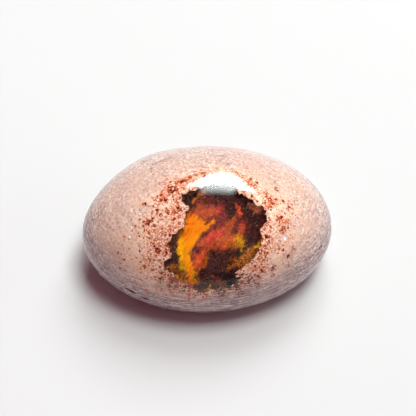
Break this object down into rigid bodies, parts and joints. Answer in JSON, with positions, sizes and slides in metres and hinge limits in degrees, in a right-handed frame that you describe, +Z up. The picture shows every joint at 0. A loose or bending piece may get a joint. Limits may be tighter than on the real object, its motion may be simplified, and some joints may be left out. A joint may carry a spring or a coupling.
{
  "type": "matrix fire opal cabochon",
  "caption": "Oval domed cabochon cut from pale rhyolite, with a ragged window of see-through fire opal on the front of the dome and a flat ground back.",
  "frame": {"origin": "centre of the flat ground back, on the surface the stone lies on", "axes": "+X along the stone's long axis, +Z up out of the dome, and the opal's window faces -Y and up"},
  "size_m": [0.025, 0.0174, 0.0115],
  "materials": {
    "polished_rhyolite": "polished stone, satin with a higher gloss round the opal",
    "fire_opal": "clear orange-brown opal, high polish"
  },
  "bodies": {
    "root": {"rhyolite_matrix": "polished_rhyolite", "fire_opal": "fire_opal"}
  },
  "joints": []
}
